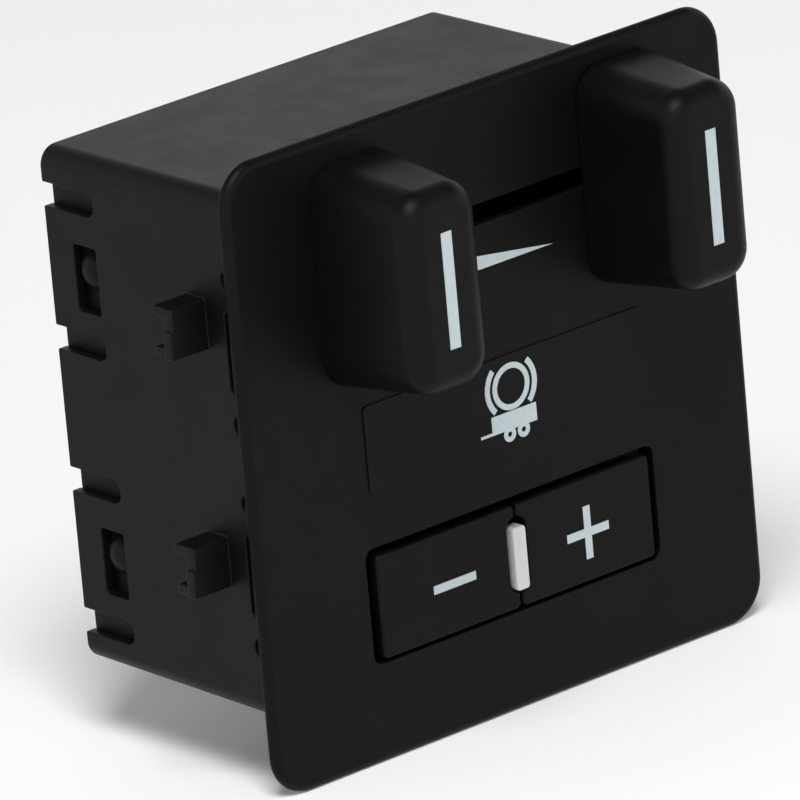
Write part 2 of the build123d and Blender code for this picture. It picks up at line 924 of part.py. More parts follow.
# ================================================================ slide carriage
with BuildPart() as slide_carriage:
    block(
        (carriage_left, carriage_right), (carriage_front_y, carriage_rear_y),
        (carriage_bottom_z, carriage_top_z),
    )
    chamfer(slide_carriage.edges().filter_by(Axis.X), length=carriage_chamfer)
    # neck under the baffle, then the leg up behind the slot and the tongue for the grip
    block((neck_left, neck_right), (leg_rear_y, carriage_front_y), (leg_bottom_z, neck_top_z))
    block((neck_left, stem_right), (leg_front_y, leg_rear_y), (leg_bottom_z, neck_top_z))
    block(
        (stem_left, stem_right), (leg_front_y, leg_rear_y),
        (leg_bottom_z, slot_z + stem_thickness / 2),
    )
    block(
        (stem_left, stem_right), (tongue_front_y, leg_rear_y),
        (slot_z - stem_thickness / 2, slot_z + stem_thickness / 2),
    )
    # bores for the two rods and the pocket for the spring
    with BuildSketch(Plane.YZ.offset(carriage_left)):
        with Locations((rod_y, rod_low_z), (rod_y, rod_high_z)):
            Circle(rod_radius + rod_clearance)
    extrude(amount=carriage_right - carriage_left, mode=Mode.SUBTRACT)
    with BuildSketch(Plane.YZ.offset(carriage_left)):
        with Locations((rod_y, rod_low_z)):
            Circle(spring_pocket_radius)
    extrude(amount=spring_pocket_depth, mode=Mode.SUBTRACT)
save(slide_carriage, "slide_carriage")

with BuildPart() as slide_wiper:
    wiper_x = (carriage_left + carriage_right) / 2
    block(
        (wiper_x - wiper_half_length, wiper_x + wiper_half_length),
        (carriage_rear_y, carriage_rear_y + wiper_thickness),
        (track_bottom_z + wiper_margin, track_top_z - wiper_margin),
    )
    wiper_left = wiper_x - wiper_half_length
    for finger_z in (track_bottom_z + wiper_finger_inset, track_top_z - wiper_finger_inset):
        block(
            (wiper_left, wiper_left + wiper_finger_length),
            (carriage_rear_y, track_front_y - slip_gap),
            (finger_z - wiper_finger_half, finger_z + wiper_finger_half),
        )
save(slide_wiper, "slide_wiper")

# ================================================================ slide guide
with BuildPart() as slide_guide:
    block(
        (guide_left, guide_right), (baffle_front_y, baffle_rear_y),
        (baffle_bottom_z, baffle_top_z),
    )
    for plate_left in (guide_left, guide_right - guide_plate):
        block(
            (plate_left, plate_left + guide_plate), (baffle_front_y, board_front_y),
            (guide_bottom_z, guide_top_z),
        )
    # feet that stand on the back of the bezel
    block((guide_left, guide_left + guide_plate), (0, baffle_front_y), (guide_bottom_z, guide_top_z))
    with BuildSketch(Plane.YZ.offset(guide_left)):
        with Locations((rod_y, rod_low_z), (rod_y, rod_high_z)):
            Circle(rod_radius)
    extrude(amount=guide_right - guide_left, mode=Mode.SUBTRACT)
save(slide_guide, "slide_guide")

with BuildPart() as guide_rods:
    with BuildSketch(Plane.YZ.offset(guide_left)):
        with Locations((rod_y, rod_low_z), (rod_y, rod_high_z)):
            Circle(rod_radius)
    extrude(amount=guide_right - guide_left)
    chamfer(guide_rods.edges().filter_by(GeomType.CIRCLE), length=rod_chamfer)
save(guide_rods, "guide_rods")

with BuildPart() as position_track:
    block(
        (guide_left + guide_plate, guide_right - guide_plate), (track_front_y, board_front_y),
        (track_bottom_z, track_top_z),
    )
save(position_track, "position_track")

# ================================================================ return spring
spring_start = guide_left + guide_plate + spring_wire_radius + spring_end_gap
spring_end = carriage_left + spring_pocket_depth - spring_wire_radius - spring_end_gap
spring_length = spring_end - spring_start

with BuildPart() as return_spring:
    with BuildLine():
        coil = Helix(
            pitch=spring_length / spring_coils, height=spring_length, radius=spring_coil_radius,
            center=(spring_start, rod_y, rod_low_z), direction=(1, 0, 0),
        )
    with BuildSketch(Plane(origin=coil @ 0, z_dir=coil % 0)):
        Circle(spring_wire_radius)
    sweep(path=coil, is_frenet=True)
save(return_spring, "return_spring")
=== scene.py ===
import json
import math

import bmesh
import bpy
from bpy.props import FloatProperty, FloatVectorProperty, PointerProperty
from bpy.types import Operator, Panel, PropertyGroup
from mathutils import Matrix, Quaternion, Vector

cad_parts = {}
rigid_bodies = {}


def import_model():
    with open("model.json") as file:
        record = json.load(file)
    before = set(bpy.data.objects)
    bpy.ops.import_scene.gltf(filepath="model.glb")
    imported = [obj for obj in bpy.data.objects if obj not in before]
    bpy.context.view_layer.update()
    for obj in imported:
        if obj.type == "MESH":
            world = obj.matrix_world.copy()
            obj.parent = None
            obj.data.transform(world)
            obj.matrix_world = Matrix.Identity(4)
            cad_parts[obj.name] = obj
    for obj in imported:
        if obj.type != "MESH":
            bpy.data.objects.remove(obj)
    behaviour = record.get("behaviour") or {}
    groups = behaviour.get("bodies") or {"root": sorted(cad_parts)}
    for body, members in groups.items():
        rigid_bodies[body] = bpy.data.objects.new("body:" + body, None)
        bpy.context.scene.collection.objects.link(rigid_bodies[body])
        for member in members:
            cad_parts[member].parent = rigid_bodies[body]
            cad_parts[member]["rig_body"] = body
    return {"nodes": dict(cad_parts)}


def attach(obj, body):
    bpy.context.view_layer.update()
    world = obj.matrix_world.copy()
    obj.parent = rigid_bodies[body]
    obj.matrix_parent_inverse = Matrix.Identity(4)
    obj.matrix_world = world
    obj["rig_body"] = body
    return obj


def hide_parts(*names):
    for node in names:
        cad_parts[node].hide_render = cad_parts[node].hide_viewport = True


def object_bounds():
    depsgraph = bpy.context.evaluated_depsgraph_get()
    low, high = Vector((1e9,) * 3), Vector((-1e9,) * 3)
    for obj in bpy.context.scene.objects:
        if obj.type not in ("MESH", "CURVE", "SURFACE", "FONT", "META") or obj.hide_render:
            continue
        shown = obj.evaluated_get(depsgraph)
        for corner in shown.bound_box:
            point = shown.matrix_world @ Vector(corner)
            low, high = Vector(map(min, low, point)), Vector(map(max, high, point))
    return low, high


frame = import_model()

bl_info = {
    "name": "Trailer brake control panel",
    "version": (1, 0, 0),
    "blender": (4, 5, 0),
    "location": "3D View > Sidebar > Brake panel",
    "description": "Builds the visible pieces of a dash-mounted trailer brake control panel",
    "category": "Object",
}

MM = 0.001
WELD_DISTANCE = 0.004 * MM
FLAT_ANGLE = math.radians(0.6)
SHARP_ANGLE = math.radians(32.0)
BEVEL_SEGMENTS = 2
NORMAL_WEIGHT = 80
BLACK_SPECULAR = 0.1
RUB_WIDTH = 0.25 * MM
GRAIN_DEPTH = 0.010 * MM
SCRATCH_WIDTH = 0.4 * MM
KEY_EDGE_SHARE = 0.4
LENS_EDGE_RADIUS = 0.05 * MM
LABEL_EDGE_RADIUS = 0.04 * MM
FLOOR_HALF_WIDTH = 6.0
SENSOR_WIDTH_MM = 36.0
CLIP_START = 0.05
CLIP_END = 50.0
KEY_LIGHT_PLACE = (-0.42, -0.51, 1.07)
KEY_LIGHT_AIM = (0.0, 0.0, 0.0)
KEY_LIGHT_SIZE = 0.5
HORIZON_COLOUR = (1.0, 1.0, 1.0, 1.0)
CEILING_COLOUR = (0.06, 0.06, 0.062, 1.0)
HORIZON_STEP = 0.40
CEILING_STEP = 0.60

FRAME_BLACK = (0.004, 0.004, 0.0043)
SILICONE_GREY = (0.45, 0.46, 0.47)
LABEL_BLACK = (0.0024, 0.0024, 0.0026)
GUIDE_BLACK = (0.005, 0.005, 0.0054)
CARRIAGE_BLACK = (0.012, 0.012, 0.013)
CONNECTOR_BLACK = (0.007, 0.007, 0.0075)
LIGHT_GUIDE_WHITE = (0.80, 0.84, 0.86)
LAMP_YELLOW = (0.85, 0.80, 0.55)
ROD_STEEL = (0.62, 0.62, 0.61)
SPRING_STEEL = (0.42, 0.42, 0.43)
SCREW_STEEL = (0.40, 0.40, 0.41)
WIPER_BRONZE = (0.72, 0.45, 0.24)
TRACK_BROWN = (0.02, 0.018, 0.016)
EPOXY_BLACK = (0.012, 0.012, 0.012)
CERAMIC_TAN = (0.24, 0.17, 0.11)
CAN_ALUMINIUM = (0.75, 0.75, 0.76)
cad_box = [list(corner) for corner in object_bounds()]


# ---------------------------------------------------------------- settings
def colour_setting(name, description, default):
    """A colour that a user would change."""
    return FloatVectorProperty(
        name=name, description=description, default=default, size=3, min=0.0, max=1.0,
        subtype="COLOR",
    )


def length_setting(name, description, default):
    """A length that a user would change, in metres."""
    return FloatProperty(
        name=name, description=description, default=default, min=0.0, unit="LENGTH",
        subtype="DISTANCE", precision=5,
    )


def share_setting(name, description, default):
    """A value between 0 and 1."""
    return FloatProperty(
        name=name, description=description, default=default, min=0.0, max=1.0, subtype="FACTOR",
    )


class CasingSettings(PropertyGroup):
    """Sizes and finish of the bezel, the housing and the rear cover."""

    bezel_colour: colour_setting("Bezel colour", "Plastic of the front bezel", (0.0024, 0.0024, 0.0026))
    housing_colour: colour_setting("Housing colour", "Plastic of the housing", (0.0031, 0.0031, 0.0033))
    bezel_roughness: share_setting("Bezel roughness", "Dullness of the bezel's fine grain", 0.47)
    housing_roughness: share_setting("Housing roughness", "Dullness of the housing", 0.46)
    grain_size: length_setting("Grain size", "Width of one grain of the moulded texture", 0.00022)
    edge_radius: length_setting("Edge radius", "Rounding of the moulded edges", 0.00014)


class ControlSettings(PropertyGroup):
    """Sizes and finish of the grips, the keys and the marks."""

    grip_colour: colour_setting(
        "Grip colour", "Soft-touch plastic of the two grips", (0.0029, 0.0029, 0.0032),
    )
    grip_roughness: share_setting("Grip roughness", "Dullness of the grips", 0.43)
    key_colour: colour_setting("Key colour", "Plastic of the two keys", (0.0025, 0.0025, 0.0027))
    key_roughness: share_setting("Key roughness", "Dullness of the keys", 0.45)
    edge_radius: length_setting("Edge radius", "Rounding of the keys' edges", 0.0003)
    print_colour: colour_setting("Print colour", "Ink of the marks and stripes", (0.40, 0.46, 0.48))
    lens_colour: colour_setting("Lens colour", "Milky plastic of the indicator lens", (0.52, 0.53, 0.51))


class BoardSettings(PropertyGroup):
    """Finish of the circuit board and the connector."""

    mask_colour: colour_setting("Solder mask colour", "Lacquer over the board", (0.012, 0.085, 0.035))
    contact_colour: colour_setting("Contact colour", "Plated pins of the connector", (0.83, 0.66, 0.33))


class StageSettings(PropertyGroup):
    """Floor, lights and camera."""

    floor_colour: colour_setting("Floor colour", "Pale floor", (0.94, 0.94, 0.945))
    camera_azimuth: FloatProperty(
        name="Camera azimuth", description="Turn of the camera round the panel",
        default=math.radians(-39.6596), subtype="ANGLE",
    )
    camera_elevation: FloatProperty(
        name="Camera elevation", description="Height of the camera above the horizon",
        default=math.radians(19.0034), subtype="ANGLE",
    )
    camera_roll: FloatProperty(
        name="Camera roll", description="Tilt of the camera about its own axis",
        default=math.radians(-5.1565), subtype="ANGLE",
    )
    camera_distance: FloatProperty(
        name="Camera distance", description="From the camera to the point that it looks at",
        default=1.26513, min=0.1, unit="LENGTH", subtype="DISTANCE",
    )
    camera_aim: FloatVectorProperty(
        name="Camera aim", description="Point that the camera looks at", size=3,
        default=(-0.004399, 0.002796, -0.000873), unit="LENGTH", subtype="TRANSLATION",
    )
    camera_lens: FloatProperty(
        name="Camera lens", description="Focal length in millimetres", default=574.22, min=1.0,
    )
    key_light_power: FloatProperty(
        name="Key light power", description="Softbox above the front, on the left",
        default=14.0, min=0.0, unit="POWER",
    )
    horizon_strength: FloatProperty(
        name="Horizon strength", description="Brightness of the pale surround at eye level",
        default=1.4, min=0.0,
    )


class BrakePanelSettings(PropertyGroup):
    """Everything that a user would change."""

    casing: PointerProperty(type=CasingSettings)
    controls: PointerProperty(type=ControlSettings)
    board: PointerProperty(type=BoardSettings)
    stage: PointerProperty(type=StageSettings)


# ---------------------------------------------------------------- materials
class Nodes:
    """Adds and links the nodes of one material."""

    def __init__(self, name):
        self.material = bpy.data.materials.new(name)
        self.material.use_nodes = True
        self.tree = self.material.node_tree
        self.tree.nodes.clear()
        self.output = self.tree.nodes.new("ShaderNodeOutputMaterial")
        self.shader = self.tree.nodes.new("ShaderNodeBsdfPrincipled")
        self.link(self.shader, "BSDF", self.output, "Surface")

    def link(self, source, output, target, socket):
        self.tree.links.new(source.outputs[output], target.inputs[socket])

    def add(self, kind, **values):
        """A node with its properties set by name."""
        node = self.tree.nodes.new(kind)
        for key, value in values.items():
            setattr(node, key, value)
        return node

    def coordinates(self):
        """Object coordinates, in metres in the frame of the panel."""
        return self.add("ShaderNodeTexCoord"), "Object"

    def noise(self, feature, detail=3.0, roughness=0.55, stretch=None):
        """Noise whose features are about as wide as the given length."""
        source, output = self.coordinates()
        if stretch is not None:
            mapping = self.add("ShaderNodeMapping")
            mapping.inputs["Scale"].default_value = stretch
            self.link(source, output, mapping, "Vector")
            source, output = mapping, "Vector"
        node = self.add("ShaderNodeTexNoise")
        node.inputs["Scale"].default_value = 1.0 / feature
        node.inputs["Detail"].default_value = detail
        node.inputs["Roughness"].default_value = roughness
        self.link(source, output, node, "Vector")
        return node, "Fac"

    def cells(self, feature, randomness=1.0):
        """Rounded cells about as wide as the given length."""
        source, output = self.coordinates()
        node = self.add("ShaderNodeTexVoronoi", feature="SMOOTH_F1")
        node.inputs["Scale"].default_value = 1.0 / feature
        node.inputs["Smoothness"].default_value = 0.6
        node.inputs["Randomness"].default_value = randomness
        self.link(source, output, node, "Vector")
        return node, "Distance"

    def spread(self, source, output, low, high, start=0.3, stop=0.7):
        """Maps a texture's middle values to the range from low to high."""
        node = self.add("ShaderNodeMapRange")
        node.inputs["From Min"].default_value = start
        node.inputs["From Max"].default_value = stop
        node.inputs["To Min"].default_value = low
        node.inputs["To Max"].default_value = high
        self.link(source, output, node, "Value")
        return node, "Result"

    def blend(self, share, first, second):
        """Mixes two colours, given as values or as (node, output), by a share."""
        node = self.add("ShaderNodeMix", data_type="RGBA")
        self.link(share[0], share[1], node, 0)
        for socket, value in ((6, first), (7, second)):
            if isinstance(value[0], bpy.types.Node):
                self.tree.links.new(value[0].outputs[value[1]], node.inputs[socket])
            else:
                node.inputs[socket].default_value = (*value, 1.0)
        return node, 2

    def edge_share(self, radius, strength):
        """Rises from 0 to the given strength where a surface turns over an edge."""
        bevel = self.add("ShaderNodeBevel", samples=6)
        bevel.inputs["Radius"].default_value = radius
        geometry = self.add("ShaderNodeNewGeometry")
        dot = self.add("ShaderNodeVectorMath", operation="DOT_PRODUCT")
        self.link(bevel, "Normal", dot, 0)
        self.link(geometry, "True Normal", dot, 1)
        return self.spread(dot, "Value", strength, 0.0, 0.90, 0.995)

    def bump(self, height, distance, strength=1.0):
        """Bump from a height texture, with its depth in metres."""
        node = self.add("ShaderNodeBump")
        node.inputs["Strength"].default_value = strength
        node.inputs["Distance"].default_value = distance
        self.link(height[0], height[1], node, "Height")
        self.link(node, "Normal", self.shader, "Normal")
        return node

    def sum(self, first, second, share):
        """first + second * share."""
        node = self.add("ShaderNodeMath", operation="MULTIPLY_ADD")
        self.link(second[0], second[1], node, 0)
        node.inputs[1].default_value = share
        self.link(first[0], first[1], node, 2)
        return node, "Value"


def lighter(colour, factor, lift=0.0):
    """The colour, scaled and lifted towards grey."""
    return tuple(min(1.0, part * factor + lift) for part in colour)


def moulded_plastic(name, colour, roughness, grain_size, grain_depth, wear=0.25):
    """Opaque moulded plastic: spark-eroded grain, faint flow mottling and rubbed edges."""
    made = Nodes(name)
    mottle = made.spread(*made.noise(9 * MM, 4.0), 0.0, 1.0)
    body = made.blend(mottle, lighter(colour, 0.85), lighter(colour, 1.2))
    rubbed = made.edge_share(RUB_WIDTH, wear)
    tint = made.blend(rubbed, body, lighter(colour, 1.6, 0.012))
    made.link(tint[0], tint[1], made.shader, "Base Color")
    patches = made.noise(5 * MM, 5.0, 0.6)
    dull = made.spread(*patches, roughness - 0.035, roughness + 0.035)
    made.link(dull[0], dull[1], made.shader, "Roughness")
    grain = made.sum(made.noise(grain_size, 2.0), made.cells(grain_size * 1.7), 0.6)
    made.bump(grain, grain_depth)
    made.shader.inputs["Specular IOR Level"].default_value = BLACK_SPECULAR
    return made.material


def printed_ink(name, colour):
    """Pad-printed ink: a little uneven, with a fine orange-peel surface."""
    made = Nodes(name)
    patches = made.spread(*made.noise(0.5 * MM, 4.0), 0.0, 1.0)
    tint = made.blend(patches, lighter(colour, 0.95), lighter(colour, 1.03))
    made.link(tint[0], tint[1], made.shader, "Base Color")
    dull = made.spread(*made.noise(0.3 * MM), 0.42, 0.58)
    made.link(dull[0], dull[1], made.shader, "Roughness")
    made.bump(made.noise(0.12 * MM), 0.004 * MM)
    return made.material


def milky_plastic(name, colour, roughness, scatter):
    """Translucent plastic that spreads light, with a faint flow pattern."""
    made = Nodes(name)
    patches = made.spread(*made.noise(1.5 * MM, 3.0, stretch=(1.0, 1.0, 0.35)), 0.0, 1.0)
    tint = made.blend(patches, lighter(colour, 0.93), lighter(colour, 1.0))
    made.link(tint[0], tint[1], made.shader, "Base Color")
    dull = made.spread(*made.noise(0.8 * MM), roughness - 0.05, roughness + 0.05)
    made.link(dull[0], dull[1], made.shader, "Roughness")
    made.shader.inputs["Subsurface Weight"].default_value = scatter
    made.shader.inputs["Subsurface Radius"].default_value = (1.0, 0.9, 0.8)
    made.shader.inputs["Subsurface Scale"].default_value = 0.8 * MM
    made.bump(made.noise(0.6 * MM), 0.006 * MM)
    return made.material


def metal(name, colour, roughness, brush=(1.0, 1.0, 1.0)):
    """Plated or drawn metal with a directional scratch pattern and dull patches."""
    made = Nodes(name)
    patches = made.spread(*made.noise(2.5 * MM, 4.0), 0.0, 1.0)
    tint = made.blend(patches, lighter(colour, 0.82), lighter(colour, 1.05))
    made.link(tint[0], tint[1], made.shader, "Base Color")
    made.shader.inputs["Metallic"].default_value = 1.0
    streaks = made.noise(SCRATCH_WIDTH, 4.0, 0.7, brush)
    dull = made.spread(*streaks, roughness - 0.08, roughness + 0.1)
    made.link(dull[0], dull[1], made.shader, "Roughness")
    made.bump(streaks, 0.004 * MM)
    return made.material


def board_laminate(name, mask_colour):
    """Glass-cloth laminate under solder mask, with traces that show through as lighter lines."""
    made = Nodes(name)
    source, output = made.coordinates()
    tracks = made.add("ShaderNodeTexBrick", offset=0.5)
    tracks.inputs["Scale"].default_value = 1.0 / (5 * MM)
    tracks.inputs["Mortar Size"].default_value = 0.035
    tracks.inputs["Mortar Smooth"].default_value = 0.1
    turned = made.add("ShaderNodeMapping")
    turned.inputs["Rotation"].default_value = (math.radians(90), 0.0, 0.0)
    made.link(source, output, turned, "Vector")
    made.link(turned, "Vector", tracks, "Vector")
    tint = made.blend((tracks, "Fac"), mask_colour, lighter(mask_colour, 1.9))
    made.link(tint[0], tint[1], made.shader, "Base Color")
    weave = made.noise(0.5 * MM, 2.0, 0.5)
    dull = made.spread(*weave, 0.22, 0.34)
    made.link(dull[0], dull[1], made.shader, "Roughness")
    made.bump(made.sum(weave, (tracks, "Fac"), 1.5), 0.012 * MM)
    return made.material


def ink_film(name, colour, roughness):
    """A smooth film or cast resin with a slight orange peel."""
    made = Nodes(name)
    patches = made.spread(*made.noise(6 * MM, 4.0), 0.0, 1.0)
    tint = made.blend(patches, lighter(colour, 0.9), lighter(colour, 1.15))
    made.link(tint[0], tint[1], made.shader, "Base Color")
    dull = made.spread(*made.noise(2 * MM, 4.0), roughness - 0.03, roughness + 0.03)
    made.link(dull[0], dull[1], made.shader, "Roughness")
    made.bump(made.noise(0.25 * MM, 2.0), 0.006 * MM)
    made.shader.inputs["Specular IOR Level"].default_value = BLACK_SPECULAR
    return made.material


# ---------------------------------------------------------------- pieces
def paint(node, material):
    """Puts a material on a CAD node that keeps its own mesh."""
    mesh = frame["nodes"][node].data
    mesh.materials.clear()
    mesh.materials.append(material)


def add_piece(name, mesh, material, body, slot, *replaced):
    """Links a finished mesh to the scene, and says what it rides on and stands for."""
    mesh.materials.clear()
    mesh.materials.append(material)
    piece = bpy.data.objects.new(name, mesh)
    bpy.context.scene.collection.objects.link(piece)
    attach(piece, body)
    if replaced:
        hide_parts(*replaced)
    return piece


def body_of(node):
    """The moving body that a CAD node belongs to."""
    return frame["nodes"][node]["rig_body"]


def softened_mesh(node):
    """The node's shape with its triangles welded and its flat faces whole again."""
    shape = bmesh.new()
    shape.from_mesh(frame["nodes"][node].data)
    bmesh.ops.remove_doubles(shape, verts=shape.verts, dist=WELD_DISTANCE)
    bmesh.ops.dissolve_limit(
        shape, angle_limit=FLAT_ANGLE, verts=shape.verts, edges=shape.edges,
    )
    for face in shape.faces:
        face.smooth = True
    mesh = bpy.data.meshes.new(node)
    shape.to_mesh(mesh)
    shape.free()
    return mesh


def soften(piece, radius):
    """Rounds the sharp edges of a piece and keeps its flat faces flat in the light."""
    bevel = piece.modifiers.new("rounded edges", "BEVEL")
    bevel.width = radius
    bevel.segments = BEVEL_SEGMENTS
    bevel.limit_method = "ANGLE"
    bevel.angle_limit = SHARP_ANGLE
    bevel.use_clamp_overlap = False
    bevel.miter_outer = "MITER_ARC"
    bevel.harden_normals = True
    even = piece.modifiers.new("even normals", "WEIGHTED_NORMAL")
    even.keep_sharp = True
    even.weight = NORMAL_WEIGHT


def moulded_piece(name, node, material, slot, radius):
    """A moulded piece in the shape of its CAD node, with rounded edges."""
    piece = add_piece(name, softened_mesh(node), material, body_of(node), slot, node)
    soften(piece, radius)
    return piece


def plastic_of(name, colour, roughness, casing):
    """Moulded plastic with the casing's grain."""
    return moulded_plastic(name, tuple(colour), roughness, casing.grain_size, GRAIN_DEPTH)


def settings_of(context):
    return context.scene.brake_panel


class BRAKEPANEL_OT_bezel(Operator):
    """Builds the front bezel with its collar and posts"""

    bl_idname = "brake_panel.bezel"
    bl_label = "Front bezel"

    def execute(self, context):
        casing = settings_of(context).casing
        finish = plastic_of("bezel plastic", casing.bezel_colour, casing.bezel_roughness, casing)
        moulded_piece("bezel", "front_bezel", finish, "bezel_plastic", casing.edge_radius)
        return {"FINISHED"}


class BRAKEPANEL_OT_housing(Operator):
    """Builds the housing with its notches, windows and clips, and the rear cover"""

    bl_idname = "brake_panel.housing"
    bl_label = "Housing and rear cover"

    def execute(self, context):
        casing = settings_of(context).casing
        finish = plastic_of("housing plastic", casing.housing_colour, casing.housing_roughness, casing)
        moulded_piece("housing_shell", "housing", finish, "housing_plastic", casing.edge_radius)
        moulded_piece("back_cover", "rear_cover", finish, "housing_plastic", casing.edge_radius)
        return {"FINISHED"}


class BRAKEPANEL_OT_grips(Operator):
    """Builds the fixed grip and the sliding grip with their stripes"""

    bl_idname = "brake_panel.grips"
    bl_label = "Grips"

    def execute(self, context):
        settings = settings_of(context)
        controls = settings.controls
        finish = plastic_of("grip plastic", controls.grip_colour, controls.grip_roughness, settings.casing)
        ink = printed_ink("stripe ink", tuple(controls.print_colour))
        for name, node in (("left_grip", "fixed_grip"), ("right_grip", "slide_grip")):
            moulded_piece(name, node, finish, "grip_plastic", settings.casing.edge_radius)
            paint(node + "_stripe", ink)
        return {"FINISHED"}


class BRAKEPANEL_OT_keys(Operator):
    """Builds the two keys, their marks and the frame that holds them"""

    bl_idname = "brake_panel.keys"
    bl_label = "Keys"

    def execute(self, context):
        settings = settings_of(context)
        controls = settings.controls
        finish = plastic_of("key plastic", controls.key_colour, controls.key_roughness, settings.casing)
        ink = printed_ink("mark ink", tuple(controls.print_colour))
        edge = controls.edge_radius * KEY_EDGE_SHARE
        for sign in ("minus", "plus"):
            moulded_piece(sign + "_button", sign + "_key", finish, "key_plastic", edge)
            paint(sign + "_mark", ink)
        dark = plastic_of("frame plastic", FRAME_BLACK, 0.5, settings.casing)
        moulded_piece("button_frame", "key_frame", dark, "frame_plastic", settings.casing.edge_radius)
        rubber = moulded_plastic("switch silicone", SILICONE_GREY, 0.6, 0.3 * MM, 0.01 * MM, 0.1)
        for sign in ("minus", "plus"):
            paint(sign + "_switch_dome", rubber)
        return {"FINISHED"}


class BRAKEPANEL_OT_indicator(Operator):
    """Builds the indicator lens, its light guide and its lamp"""

    bl_idname = "brake_panel.indicator"
    bl_label = "Indicator"

    def execute(self, context):
        controls = settings_of(context).controls
        lens = milky_plastic("lens plastic", tuple(controls.lens_colour), 0.22, 0.4)
        moulded_piece("lens", "indicator_lens", lens, "lens_white", LENS_EDGE_RADIUS)
        guide = milky_plastic("light guide plastic", LIGHT_GUIDE_WHITE, 0.12, 0.3)
        paint("light_guide", guide)
        paint("indicator_led", milky_plastic("lamp body", LAMP_YELLOW, 0.35, 0.1))
        return {"FINISHED"}


class BRAKEPANEL_OT_marks(Operator):
    """Builds the label panel, the brake symbol and the wedge"""

    bl_idname = "brake_panel.marks"
    bl_label = "Label and marks"

    def execute(self, context):
        settings = settings_of(context)
        film = ink_film("label film", LABEL_BLACK, 0.43)
        moulded_piece("label", "label_panel", film, "label_film", LABEL_EDGE_RADIUS)
        ink = printed_ink("symbol ink", tuple(settings.controls.print_colour))
        for node in ("brake_symbol", "wedge_mark"):
            paint(node, ink)
        return {"FINISHED"}


class BRAKEPANEL_OT_slide(Operator):
    """Finishes the slide: carriage, wiper, guide, rods, track and return spring"""

    bl_idname = "brake_panel.slide"
    bl_label = "Slide mechanism"

    def execute(self, context):
        casing = settings_of(context).casing
        black = plastic_of("guide plastic", GUIDE_BLACK, 0.5, casing)
        natural = plastic_of("carriage plastic", CARRIAGE_BLACK, 0.38, casing)
        moulded_piece("guide_bracket", "slide_guide", black, "frame_plastic", casing.edge_radius)
        moulded_piece("carriage", "slide_carriage", natural, "carriage_plastic", casing.edge_radius)
        steel = metal("rod steel", ROD_STEEL, 0.22, (0.08, 1.0, 1.0))
        paint("guide_rods", steel)
        paint("return_spring", metal("spring steel", SPRING_STEEL, 0.3))
        paint("slide_wiper", metal("wiper bronze", WIPER_BRONZE, 0.3))
        paint("position_track", ink_film("track film", TRACK_BROWN, 0.35))
        return {"FINISHED"}


class BRAKEPANEL_OT_board(Operator):
    """Finishes the circuit board, its components and the screws"""

    bl_idname = "brake_panel.board"
    bl_label = "Circuit board"

    def execute(self, context):
        settings = settings_of(context)
        paint("circuit_board", board_laminate("laminate", tuple(settings.board.mask_colour)))
        paint("microcontroller", ink_film("chip epoxy", EPOXY_BLACK, 0.5))
        paint("chip_components", ink_film("ceramic", CERAMIC_TAN, 0.45))
        paint("capacitors", metal("capacitor can", CAN_ALUMINIUM, 0.3))
        screws = metal("screw steel", SCREW_STEEL, 0.3)
        for node in ("board_screws", "fixed_grip_screws"):
            paint(node, screws)
        return {"FINISHED"}


class BRAKEPANEL_OT_connector(Operator):
    """Builds the connector header and its pins"""

    bl_idname = "brake_panel.connector"
    bl_label = "Connector"

    def execute(self, context):
        settings = settings_of(context)
        black = plastic_of("connector plastic", CONNECTOR_BLACK, 0.4, settings.casing)
        moulded_piece("header", "connector_header", black, "connector_plastic", settings.casing.edge_radius)
        brass = metal("plated pins", tuple(settings.board.contact_colour), 0.25, (1.0, 0.1, 1.0))
        paint("connector_pins", brass)
        return {"FINISHED"}


# ---------------------------------------------------------------- stage
def add_floor(stage):
    """A large pale floor just under the panel."""
    low = cad_box[0][2]
    shape = bmesh.new()
    bmesh.ops.create_grid(shape, x_segments=8, y_segments=8, size=FLOOR_HALF_WIDTH)
    bmesh.ops.translate(shape, verts=shape.verts, vec=(0, 0, low))
    mesh = bpy.data.meshes.new("floor")
    shape.to_mesh(mesh)
    shape.free()
    floor = bpy.data.objects.new("floor", mesh)
    bpy.context.scene.collection.objects.link(floor)
    made = Nodes("floor paint")
    colour = tuple(stage.floor_colour)
    patches = made.spread(*made.noise(0.4, 3.0), 0.0, 1.0)
    tint = made.blend(patches, lighter(colour, 0.985), colour)
    made.link(tint[0], tint[1], made.shader, "Base Color")
    made.shader.inputs["Roughness"].default_value = 0.9
    made.shader.inputs["Specular IOR Level"].default_value = 0.2
    mesh.materials.append(made.material)


def add_softbox(name, place, aim, size, power):
    """A square area light that looks at a point."""
    light = bpy.data.lights.new(name, "AREA")
    light.shape = "SQUARE"
    light.size = size
    light.energy = power
    lamp = bpy.data.objects.new(name, light)
    lamp.location = place
    lamp.rotation_euler = (Vector(aim) - Vector(place)).to_track_quat("-Z", "Y").to_euler()
    bpy.context.scene.collection.objects.link(lamp)


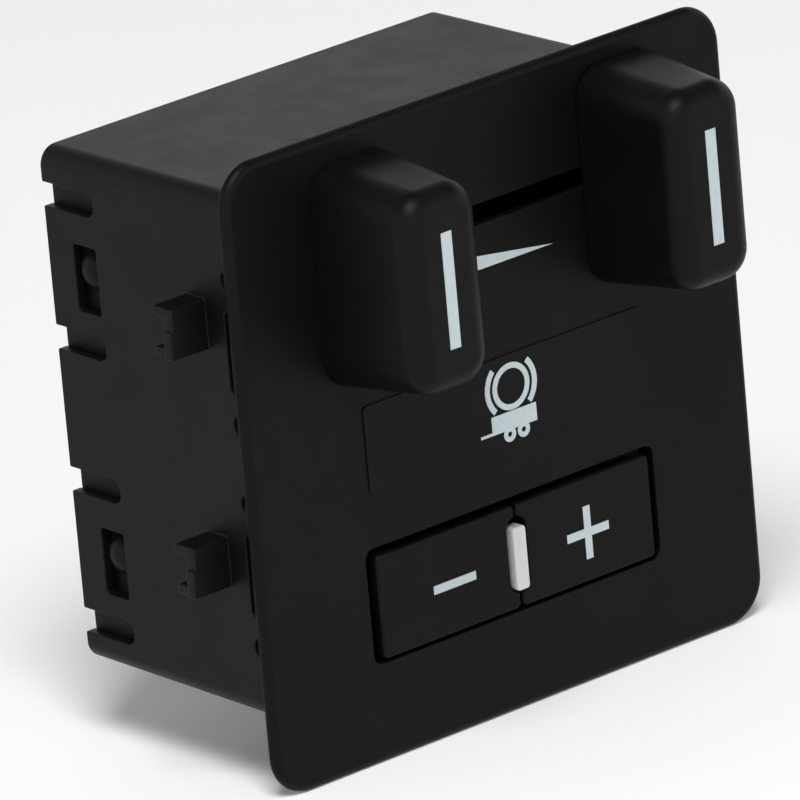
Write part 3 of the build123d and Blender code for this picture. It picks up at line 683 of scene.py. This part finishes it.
def add_surround(strength):
    """A pale surround at eye level that darkens towards the ceiling."""
    world = bpy.data.worlds.new("surround")
    bpy.context.scene.world = world
    world.use_nodes = True
    tree = world.node_tree
    tree.nodes.clear()
    output = tree.nodes.new("ShaderNodeOutputWorld")
    background = tree.nodes.new("ShaderNodeBackground")
    coordinates = tree.nodes.new("ShaderNodeTexCoord")
    parts = tree.nodes.new("ShaderNodeSeparateXYZ")
    ramp = tree.nodes.new("ShaderNodeValToRGB")
    tree.links.new(coordinates.outputs["Generated"], parts.inputs["Vector"])
    tree.links.new(parts.outputs["Z"], ramp.inputs["Fac"])
    tree.links.new(ramp.outputs["Color"], background.inputs["Color"])
    tree.links.new(background.outputs["Background"], output.inputs["Surface"])
    background.inputs["Strength"].default_value = strength
    horizon, ceiling = ramp.color_ramp.elements
    horizon.position = HORIZON_STEP
    horizon.color = HORIZON_COLOUR
    ceiling.position = CEILING_STEP
    ceiling.color = CEILING_COLOUR


def add_camera(stage):
    """The camera, on its own azimuth and elevation and a little rolled."""
    azimuth, elevation = stage.camera_azimuth, stage.camera_elevation
    away = Vector((
        math.sin(azimuth) * math.cos(elevation),
        -math.cos(azimuth) * math.cos(elevation),
        math.sin(elevation),
    ))
    camera = bpy.data.cameras.new("camera")
    camera.sensor_width = SENSOR_WIDTH_MM
    camera.lens = stage.camera_lens
    camera.clip_start = CLIP_START
    camera.clip_end = CLIP_END
    viewer = bpy.data.objects.new("camera", camera)
    viewer.location = Vector(stage.camera_aim) + away * stage.camera_distance
    level = (-away).to_track_quat("-Z", "Y")
    viewer.rotation_euler = (level @ Quaternion((0, 0, 1), stage.camera_roll)).to_euler()
    bpy.context.scene.collection.objects.link(viewer)
    bpy.context.scene.camera = viewer


class BRAKEPANEL_OT_stage(Operator):
    """Adds the floor, the soft lights and the camera"""

    bl_idname = "brake_panel.stage"
    bl_label = "Stage"

    def execute(self, context):
        stage = settings_of(context).stage
        context.scene.view_settings.view_transform = "Standard"
        add_floor(stage)
        add_surround(stage.horizon_strength)
        add_softbox(
            "key softbox", KEY_LIGHT_PLACE, KEY_LIGHT_AIM, KEY_LIGHT_SIZE, stage.key_light_power,
        )
        add_camera(stage)
        return {"FINISHED"}


class BRAKEPANEL_PT_sidebar(Panel):
    """Lists the pieces of the brake panel"""

    bl_idname = "BRAKEPANEL_PT_sidebar"
    bl_label = "Brake panel"
    bl_space_type = "VIEW_3D"
    bl_region_type = "UI"
    bl_category = "Brake panel"

    def draw(self, context):
        settings = settings_of(context)
        for title, group in (
            ("Casing", settings.casing), ("Controls", settings.controls),
            ("Board", settings.board), ("Stage", settings.stage),
        ):
            box = self.layout.box()
            box.label(text=title)
            for name in group.__annotations__:
                box.prop(group, name)
        for operator in OPERATORS:
            self.layout.operator(operator.bl_idname)


OPERATORS = (
    BRAKEPANEL_OT_stage,
    BRAKEPANEL_OT_bezel,
    BRAKEPANEL_OT_housing,
    BRAKEPANEL_OT_grips,
    BRAKEPANEL_OT_keys,
    BRAKEPANEL_OT_indicator,
    BRAKEPANEL_OT_marks,
    BRAKEPANEL_OT_slide,
    BRAKEPANEL_OT_board,
    BRAKEPANEL_OT_connector,
)
GROUPS = (CasingSettings, ControlSettings, BoardSettings, StageSettings, BrakePanelSettings)


def register():
    for group in GROUPS:
        bpy.utils.register_class(group)
    for operator in OPERATORS:
        bpy.utils.register_class(operator)
    bpy.utils.register_class(BRAKEPANEL_PT_sidebar)
    bpy.types.Scene.brake_panel = PointerProperty(type=BrakePanelSettings)


def unregister():
    del bpy.types.Scene.brake_panel
    bpy.utils.unregister_class(BRAKEPANEL_PT_sidebar)
    for operator in reversed(OPERATORS):
        bpy.utils.unregister_class(operator)
    for group in reversed(GROUPS):
        bpy.utils.unregister_class(group)


def main():
    """Builds every piece."""
    register()
    for operator in OPERATORS:
        family, name = operator.bl_idname.split(".")
        getattr(getattr(bpy.ops, family), name)()


if __name__ == "__main__":
    main()
